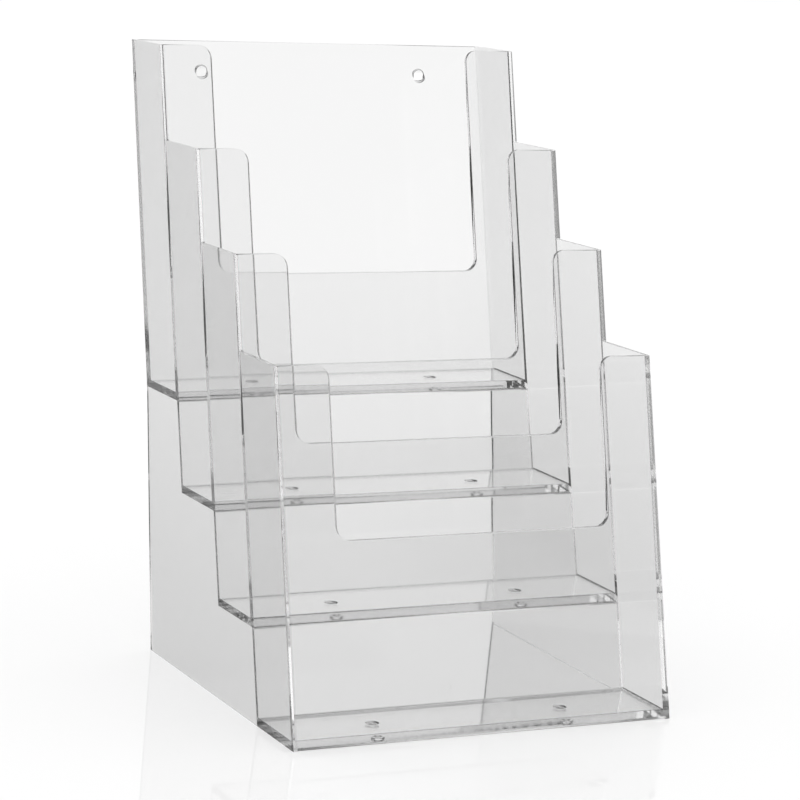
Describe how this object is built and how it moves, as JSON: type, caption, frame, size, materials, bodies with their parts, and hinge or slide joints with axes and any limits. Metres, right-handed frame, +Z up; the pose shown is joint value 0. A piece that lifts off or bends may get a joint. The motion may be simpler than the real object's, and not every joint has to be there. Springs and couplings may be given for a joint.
{
  "type": "brochure rack",
  "caption": "Free-standing stepped leaflet rack in clear plastic: tiered pockets lean back, each with a low scooped front, between two stepped sides.",
  "frame": {"origin": "centre of the bounding box, at the level the rack stands on", "axes": "+Z up, -Y towards the reader in front of the rack, +X to that reader's right"},
  "size_m": [0.238, 0.2948, 0.3722],
  "materials": {
    "clear_plastic": "clear, moulded, polished"
  },
  "bodies": {
    "root": {"left_side_panel": "clear_plastic", "right_side_panel": "clear_plastic", "back_panel": "clear_plastic", "divider_wall_1": "clear_plastic", "divider_wall_2": "clear_plastic", "divider_wall_3": "clear_plastic", "front_panel": "clear_plastic", "pocket_floor_1": "clear_plastic", "pocket_floor_2": "clear_plastic", "pocket_floor_3": "clear_plastic", "pocket_floor_4": "clear_plastic"}
  },
  "joints": []
}
